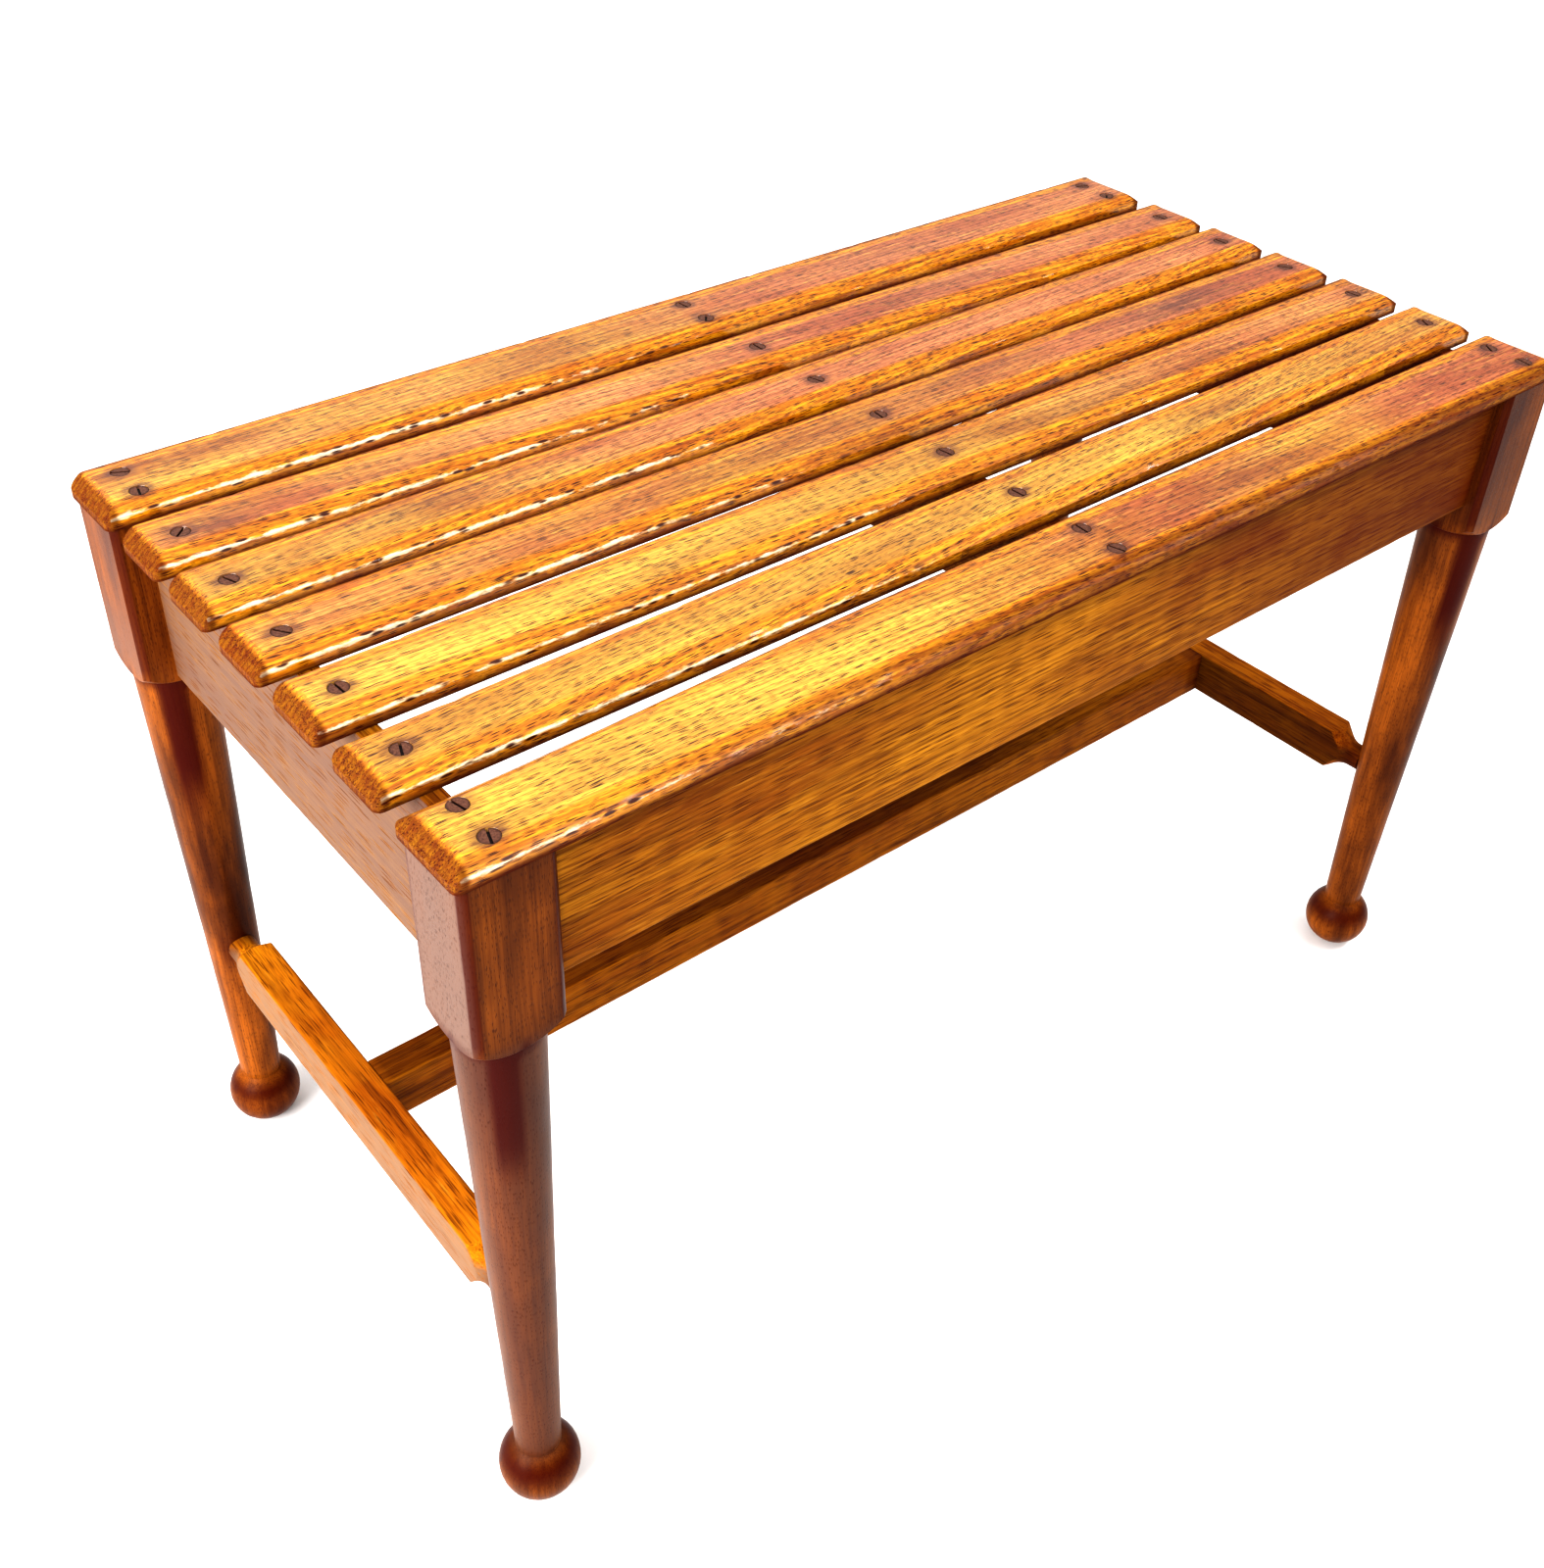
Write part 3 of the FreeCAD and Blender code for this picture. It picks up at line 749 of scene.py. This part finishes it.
def make_bar(node, along, shoulder, radius, material, marks_of, seed):
    """A straight bar along axis 0 or 1, as far as its shoulder each way, with eased arrises."""
    low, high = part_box(node)
    across = 1 - along
    centre = (low + high) / 2
    outline = bar_outline((high[across] - low[across]) / 2, (high.z - low.z) / 2, radius)
    steps = max(2, int(2 * shoulder / (5 * MM)))
    rings = []
    for k in range(steps + 1):
        at = -shoulder + 2 * shoulder * k / steps
        ring = []
        for a, b in outline:
            worn = 0.06 * MM * (1 + fractal((at, a, b), 40.0, seed))
            edge = 0.3 * MM * max(0.0, fractal((at, a * 3, b * 3), 75.0, seed + 5))
            shrink = Vector((a, b)).normalized() * (worn + edge)
            spot = [0.0, 0.0, centre.z + b - shrink.y]
            spot[along] = at
            spot[across] = centre[across] + a - shrink.x
            ring.append(Vector(spot))
        rings.append(ring)
    mesh = grid_mesh(node, rings)
    shift = Vector((seed * 1.9, seed * 0.41, seed * 0.23))

    def grain_of(co):
        return Vector((co[along], co.z - centre.z, co[across] - centre[across])) + shift

    paint(mesh, grain_of, marks_of)
    return add_piece(mesh, node, material)


def painted_left_sheen(co, normal):
    """How much painted sheen a surface takes: only the outer side of the left end, facing the light."""
    return smooth_step(0.5, 0.9, -normal.x) if co.x < -FACE_X else 0.0


def facing_inward(co, normal, along):
    """How squarely a face of an apron looks in under the seat."""
    if along == 0:
        return -normal.y * math.copysign(1, co.y)
    return -normal.x * math.copysign(1, co.x) if abs(co.x) > FACE_X else 0.0


def apron_marks(node, along):
    """Painted shade under the slats, beside the legs and on the inside; stains, redder and darker to the
    right partly as painted shade; the painted sheen on the left end.
    """
    low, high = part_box(node)
    tenon = 20 * MM

    def marks_of(co, normal):
        from_end = min(co[along] - low[along], high[along] - co[along]) - tenon
        # Painted shade under the slats and beside the legs.
        dirt_and_shade = 0.35 * (1 - smooth_step(0.0, 7 * MM, high.z - co.z))
        dirt_and_shade += 0.35 * (1 - smooth_step(0.0, 5 * MM, from_end))
        # Painted shade on the faces turned in under the seat, and all over the cross rail.
        dirt_and_shade = max(dirt_and_shade, 0.85 * smooth_step(0.3, 0.8, facing_inward(co, normal, along)))
        if node == "cross_rail":
            dirt_and_shade = 0.85
        wear_and_highlight = 0.5 * (1 - smooth_step(0.0, 2.5 * MM, co.z - low.z))
        stain_and_shade = 0.5 * smooth_step(0.15, 0.6, fractal(co, 9.0, 3.0))
        # Towards the right the apron turns redder and darker, partly stain and partly painted shade from
        # the light falling off; the tone adds the painted sheen on the left end.
        stain_and_shade += smooth_step(-0.05, 0.26, co.x + 0.06 * fractal(co, 8.0, 4.0))
        tone_and_painted_light = 0.5 + 0.5 * painted_left_sheen(co, normal) - 0.12 * smooth_step(0.0, 0.3, co.x)
        return (wear_and_highlight, min(1.0, stain_and_shade), min(1.0, dirt_and_shade), tone_and_painted_light)

    return marks_of


def stretcher_marks(node, along):
    """Worn arrises, painted shade at the ends where a stretcher meets its neighbours, on the medial and
    on the right end, and the painted sheen on the left end.
    """
    low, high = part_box(node)
    medial = along == 0
    dark_end = 14 * MM if medial else 38 * MM

    def marks_of(co, normal):
        at_right = co.x > FACE_X
        from_end = min(co[along] - low[along], high[along] - co[along])
        # Painted shade at the ends, where the stretcher meets its neighbours.
        dirt_and_shade = 0.75 * (1 - smooth_step(dark_end * 0.55, dark_end, from_end))
        wear_and_highlight = 0.5 * smooth_step(0.1, 0.5, fractal(co, 30.0, 11.0))
        # Painted shade on the right end stretcher, most on its inner side.
        painted_shade = 0.08 + 0.36 * smooth_step(0.5, 0.9, -normal.x) if at_right else 0.0
        if medial:
            # A painted shadow of the seat on the medial's top, and painted shade over the whole medial.
            on_top = smooth_step(0.5, 0.9, normal.z) * (1 - smooth_step(0.1, 0.25, co.x))
            dirt_and_shade = max(dirt_and_shade, 0.6 * on_top)
            painted_shade = 0.26
        # The right end is redder, partly stain and partly painted shade.
        stain_and_shade = 0.5 if at_right else 0.0
        return (wear_and_highlight, stain_and_shade, dirt_and_shade, 0.5 + 0.5 * painted_left_sheen(co, normal) - painted_shade)

    return marks_of


# --------------------------------------------------------- turned square pieces
def polar_rings(outline, path_of):
    """Rings of (x, y, axial) points: each outline point follows its own path of (axial, radius)."""
    columns = []
    for a, b in outline:
        reach = math.hypot(a, b)
        direction = (a / reach, b / reach)
        columns.append([(direction[0] * r, direction[1] * r, z) for z, r in path_of(reach)])
    return [[Vector(column[k]) for column in columns] for k in range(len(columns[0]))]


BALL_RADIUS = 22.0 * MM
BALL_CENTRE = 21.0 * MM
ANKLE_RADIUS = 12.5 * MM
SHAFT_RADIUS = 21.0 * MM
HEAD_CHAMFER = 3.0 * MM
HEAD_HEIGHT = 98.0 * MM
SHOULDER_RISE = 8.5 * MM
SHOULDER_Z = SLAT_UNDERSIDE - HEAD_HEIGHT
CORNER_RISE = 0.35 * MM        # height of the eased corner between shoulder and head
BALL_BAND = 1.55 * BALL_CENTRE         # height of the dark band round each ball foot
DARK_SIDE = Vector((-0.42, -0.91))      # the side of a leg that polish has run down, and where the front left shaft shows a painted dark reflection


def head_outline():
    """A square with chamfered corners, with points close together at each chamfer."""
    outline = []
    inner = HEAD_HALF - HEAD_CHAMFER
    middle = HEAD_CHAMFER / 2
    eased = HEAD_HALF - 0.15 * MM
    spread = [math.sin(math.pi / 2 * (i / 7 - 1)) for i in range(15)]
    side = [(HEAD_HALF, (inner - 0.5 * MM) * share) for share in spread]
    chamfer = [(eased, inner), (HEAD_HALF - middle, inner + middle), (inner, eased)]
    for quarter in range(4):
        turn = Matrix.Rotation(math.pi / 2 * quarter, 2)
        outline += [tuple(turn @ Vector(p)) for p in side + chamfer]
    return outline


def leg_path(reach):
    """From the pad under the ball foot up the shaft, out over the shoulder and up the head."""
    pad = math.sqrt(BALL_RADIUS ** 2 - BALL_CENTRE ** 2)
    start = math.atan2(-BALL_CENTRE, pad)
    end = math.acos(ANKLE_RADIUS / BALL_RADIUS)
    ankle_z = BALL_CENTRE + BALL_RADIUS * math.sin(end)
    path = [(0.0, pad * 0.5), (0.0, pad * 0.9)]
    for i in range(25):
        angle = start + (end - start) * i / 24
        z = max(0.15 * MM, BALL_CENTRE + BALL_RADIUS * math.sin(angle))
        path.append((z, BALL_RADIUS * math.cos(angle)))
    path.append((ankle_z + 0.5 * MM, ANKLE_RADIUS - 0.35 * MM))
    shaft_low = ankle_z + 1.3 * MM
    shaft_high = SHOULDER_Z - 0.3 * MM
    for i in range(44):
        t = i / 43
        z = shaft_low + (shaft_high - shaft_low) * t
        path.append((z, ANKLE_RADIUS + (SHAFT_RADIUS - ANKLE_RADIUS) * t))
    full_reach = HEAD_HALF * math.sqrt(2)
    for i in range(8):
        radius = SHAFT_RADIUS + (reach - SHAFT_RADIUS) * i / 7
        out = (radius - SHAFT_RADIUS) / (full_reach - SHAFT_RADIUS)
        ease = 0.25 * MM if i == 7 else 0.0
        path.append((SHOULDER_Z + SHOULDER_RISE * out ** 1.5, radius - ease))
    head_low = path[-1][0] + CORNER_RISE
    for i in range(14):
        path.append((head_low + (SLAT_UNDERSIDE - head_low) * i / 13, reach))
    return path


def leg_marks(centre, seed):
    """Dark corners, a dark band on the ball, runs of polish; painted shade under the head, at the
    sockets and on two heads; the painted sheen is strongest on the front left leg.
    """
    front_left = centre.x < 0 and centre.y < 0
    front_right = centre.x > 0 and centre.y < 0
    back_left = centre.x < 0 and centre.y > 0
    # Darker ball feet, most on the back legs; painted shade on the front right and back left heads.
    ball_darkening = 0.55 if centre.y > 0 else 0.15
    head_shade = 0.3 if front_right or back_left else 0.0

    def dirt_and_shade_of(co, radius, in_head, ball):
        across = co - centre
        shaft = (1 - in_head) * (1 - ball)
        below_head = SHOULDER_Z - co.z
        toward_dark_side = DARK_SIDE.dot(across.xy) / max(radius, 1e-6)
        run = smooth_step(0.86, 0.98, toward_dark_side) * (1 - smooth_step(55 * MM, 115 * MM, below_head))
        # A painted dark reflection down the front of the front left shaft.
        dark_reflection = 0.34 * smooth_step(0.55, 0.9, toward_dark_side) * shaft
        corner = smooth_step(HEAD_HALF * 1.27, HEAD_HALF * 1.31, radius) * in_head
        band = math.exp(-((co.z - BALL_BAND) / (8 * MM)) ** 2) * ball
        # Painted shade just under the head, and where a stretcher goes into the leg.
        under = math.exp(-(below_head / (3 * MM)) ** 2) * (1 if radius < HEAD_HALF else 0.4)
        socket = math.exp(-((co.z - STRETCHER_Z) / (13 * MM)) ** 2)
        socket *= smooth_step(8 * MM, 12 * MM, -math.copysign(1, centre.y) * across.y)
        return max(0.8 * corner, 0.9 * band, under, 0.5 * socket, run if below_head > 0 else 0.0,
                   dark_reflection if front_left else 0.0, ball_darkening * ball, head_shade * in_head)

    def marks_of(co, normal):
        radius = (co - centre).xy.length
        in_head = smooth_step(SHOULDER_Z, SHOULDER_Z + 12 * MM, co.z)
        ball = 1 - smooth_step(34 * MM, 42 * MM, co.z)
        low_in_head = 1 - smooth_step(SHOULDER_Z + 20 * MM, SHOULDER_Z + 70 * MM, co.z)
        wear_and_highlight = 0.35 * max(0.0, fractal(co, 35.0, seed))
        # Painted pale sheen on the left sides, and all round the front left shaft.
        painted_sheen = painted_left_sheen(co, normal) * (0.2 + 0.8 * in_head)
        if front_left:
            wear_and_highlight += 0.15 * in_head + 0.3 * ball
            painted_sheen = max(painted_sheen, 0.42 * (1 - in_head) * (1 - ball))
        else:
            wear_and_highlight += 0.6
            painted_sheen *= 0.5 * low_in_head
        # Painted shade on the front right head.
        painted_shade = 0.2 * in_head if front_right else 0.0
        dirt_and_shade = min(1.0, dirt_and_shade_of(co, radius, in_head, ball))
        return (wear_and_highlight, 0.0, dirt_and_shade, 0.5 + 0.5 * painted_sheen - painted_shade)

    return marks_of


def make_leg(node, seed):
    low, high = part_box(node)
    centre = Vector(((low.x + high.x) / 2, (low.y + high.y) / 2, 0.0))
    rings = []
    for ring in polar_rings(head_outline(), leg_path):
        worn = []
        for p in ring:
            sink = 0.14 * MM * (1 + fractal(p, 22.0, seed))
            sink += 0.5 * MM * max(0.0, fractal(p, 110.0, seed) - 0.45)
            worn.append(centre + p - Vector((p.x, p.y, 0)).normalized() * sink)
        rings.append(worn)
    mesh = grid_mesh(node, rings)
    shift = Vector((seed * 1.3, seed * 0.31, seed * 0.17))

    def grain_of(co):
        return Vector((co.z, co.x - centre.x, co.y - centre.y)) + shift

    paint(mesh, grain_of, leg_marks(centre, seed))
    return add_piece(mesh, node, LEG_BEECH)


NECK_RADIUS = 8.5 * MM
NECK_START = 37.5 * MM
NECK_LENGTH = 16.0 * MM
SOCKET_DEPTH = 14.0 * MM       # the neck runs this far short of the leg's axis


def end_stretcher_path(reach):
    """Path along the bar: square part in the middle, a cove down to a neck at each end."""
    full_reach = math.hypot(STRETCHER_HALF_HEIGHT, STRETCHER_HALF_WIDTH)
    start = LEG_Y - NECK_START
    drop = (reach - NECK_RADIUS) / (full_reach - NECK_RADIUS)
    meet = start + NECK_LENGTH * (1 - math.sqrt(max(0.0, drop)))
    cove_low = meet + 0.2 * MM
    cove_high = start + NECK_LENGTH
    steps = 26
    half = [(meet * i / steps, reach) for i in range(1, steps)]
    half.append((meet - 0.3 * MM, reach))
    for i in range(10):
        y = cove_low + (cove_high - cove_low) * i / 9
        left = 1 - (y - start) / NECK_LENGTH
        half.append((y, NECK_RADIUS + (full_reach - NECK_RADIUS) * left ** 2))
    half.append((LEG_Y - SOCKET_DEPTH, NECK_RADIUS))
    return [(-y, r) for y, r in reversed(half)] + [(0.0, reach)] + half


def make_end_stretcher(node, seed):
    low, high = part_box(node)
    centre_x = (low.x + high.x) / 2
    outline = bar_outline(STRETCHER_HALF_WIDTH, STRETCHER_HALF_HEIGHT, 1.2 * MM)
    rings = []
    for ring in polar_rings(outline, end_stretcher_path):
        worn = []
        for p in ring:
            sink = 0.1 * MM * (1 + fractal(p, 40.0, seed))
            sink += 0.5 * MM * max(0.0, fractal(p, 90.0, seed) - 0.35)
            out = Vector((p.x, p.y))
            out *= 1 - sink / out.length
            worn.append(Vector((centre_x + out.x, p.z, STRETCHER_Z + out.y)))
        rings.append(worn)
    mesh = grid_mesh(node, rings)
    shift = Vector((seed * 1.9, seed * 0.41, seed * 0.23))

    def grain_of(co):
        return Vector((co.y, co.z - STRETCHER_Z, co.x - centre_x)) + shift

    paint(mesh, grain_of, stretcher_marks(node, 1))
    return add_piece(mesh, node, STRETCHER_OAK)


# ---------------------------------------------------------------------- assembly
for index, slat in enumerate(SLATS):
    make_slat(slat, index + 1.0)
    make_screws(slat, index + 1.0)

for index, leg in enumerate(LEGS):
    make_leg(leg, index + 11.0)

for index, apron in enumerate(("front_apron", "back_apron")):
    make_bar(apron, 0, FACE_X, 1.0 * MM, APRON_OAK, apron_marks(apron, 0), index + 21.0)
for index, apron in enumerate(("left_end_apron", "right_end_apron")):
    make_bar(apron, 1, FACE_Y, 0.8 * MM, APRON_OAK, apron_marks(apron, 1), index + 24.0)
INNER_FACE_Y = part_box("back_apron")[0].y
make_bar("cross_rail", 1, INNER_FACE_Y, 0.8 * MM, APRON_OAK,
         apron_marks("cross_rail", 1), 27.0)

for index, bar in enumerate(("left_end_stretcher", "right_end_stretcher")):
    make_end_stretcher(bar, index + 31.0)
make_bar("medial_stretcher", 0, LEG_X - STRETCHER_HALF_WIDTH, 1.2 * MM, STRETCHER_OAK,
         stretcher_marks("medial_stretcher", 0), 34.0)


# ------------------------------------------------------------------------- stage
def make_floor():
    half = 6.0
    corners = [(-half, -half, 0), (half, -half, 0), (half, half, 0), (-half, half, 0)]
    mesh = bpy.data.meshes.new("floor")
    mesh.from_pydata(corners, [], [(0, 1, 2, 3)])
    material, tree = new_material("pale_floor")
    place = put(tree, "ShaderNodeTexCoord").outputs["Object"]
    faint = cloud(tree, stretch(tree, place, (6.0, 6.0, 6.0)), 2.0)
    colour = mix(tree, faint, (0.90, 0.90, 0.90, 1), (0.93, 0.93, 0.93, 1))
    finish_material(tree, colour, 0.9, faint, 0.0)
    mesh.materials.append(material)
    floor = bpy.data.objects.new("floor", mesh)
    bpy.context.scene.collection.objects.link(floor)


def add_softbox(name, place, aim, size, power):
    """A rectangular lamp facing its aim, its first side turned as near to the x axis as it can be."""
    data = bpy.data.lights.new(name, "AREA")
    data.shape = "RECTANGLE"
    data.size, data.size_y = size
    data.energy = power
    lamp = bpy.data.objects.new(name, data)
    lamp.location = place
    lamp.rotation_mode = "QUATERNION"
    forward = (Vector(aim) - Vector(place)).normalized()
    sideways = (Vector((1, 0, 0)) - forward * forward.x).normalized()
    axes = Matrix((sideways, sideways.cross(forward), -forward)).transposed()
    lamp.rotation_quaternion = axes.to_quaternion()
    bpy.context.scene.collection.objects.link(lamp)


BRIGHT_SIDE = (-0.62, 0.42, 0.66)      # the direction that the world's light comes from most


def light_world():
    """A white studio, brightest up to the left and back; the camera sees it evenly bright."""
    world = bpy.data.worlds.new("studio")
    bpy.context.scene.world = world
    world.use_nodes = True
    tree = world.node_tree
    tree.nodes.clear()
    direction = put(tree, "ShaderNodeTexCoord").outputs["Generated"]
    toward = put(tree, "ShaderNodeVectorMath", (direction, BRIGHT_SIDE), operation="DOT_PRODUCT")
    lighting = step(tree, toward.outputs["Value"], -0.6, 0.9, 0.25, 1.3)
    seen = put(tree, "ShaderNodeLightPath").outputs["Is Camera Ray"]
    strength = put(tree, "ShaderNodeMix", {0: seen, 2: lighting, 3: 1.0}).outputs[0]
    background = put(tree, "ShaderNodeBackground", ((1.0, 0.985, 0.97, 1.0), strength))
    put(tree, "ShaderNodeOutputWorld", (background.outputs[0],))


def light_scene():
    light_world()
    add_softbox("left_softbox", (-1.7, -0.25, 0.95), (-0.45, 0.0, 0.1), (1.2, 1.0), 40.0)
    add_softbox("window", (0.88, -0.93, 1.69), (-0.13, -0.1, 0.467), (1.5, 0.25), 17.0)
    view = bpy.context.scene.view_settings
    view.view_transform = "Standard"
    view.look = "High Contrast"


CAMERA_PLACE = Vector((-0.5901, -0.6237, 0.8998))
CAMERA_AIM = Vector((0.0034, 0.0864, 0.2))
CAMERA_ROLL = 1.8              # degrees
FOCAL_PIXELS = 1780.7
PHOTO_HEIGHT = 1600            # pixels along the photograph's long side
SHIFT = (0.0026, -0.0369)


def make_camera():
    data = bpy.data.cameras.new("camera")
    data.sensor_fit = "AUTO"
    data.sensor_width = 36.0
    data.lens = FOCAL_PIXELS / PHOTO_HEIGHT * data.sensor_width
    data.shift_x, data.shift_y = SHIFT
    data.clip_start = 0.05
    camera = bpy.data.objects.new("camera", data)
    camera.location = CAMERA_PLACE
    camera.rotation_mode = "QUATERNION"
    level = (CAMERA_AIM - CAMERA_PLACE).to_track_quat("-Z", "Y")
    camera.rotation_quaternion = level @ Quaternion((0, 0, 1), math.radians(CAMERA_ROLL))
    bpy.context.scene.collection.objects.link(camera)
    bpy.context.scene.camera = camera


make_floor()
light_scene()
make_camera()
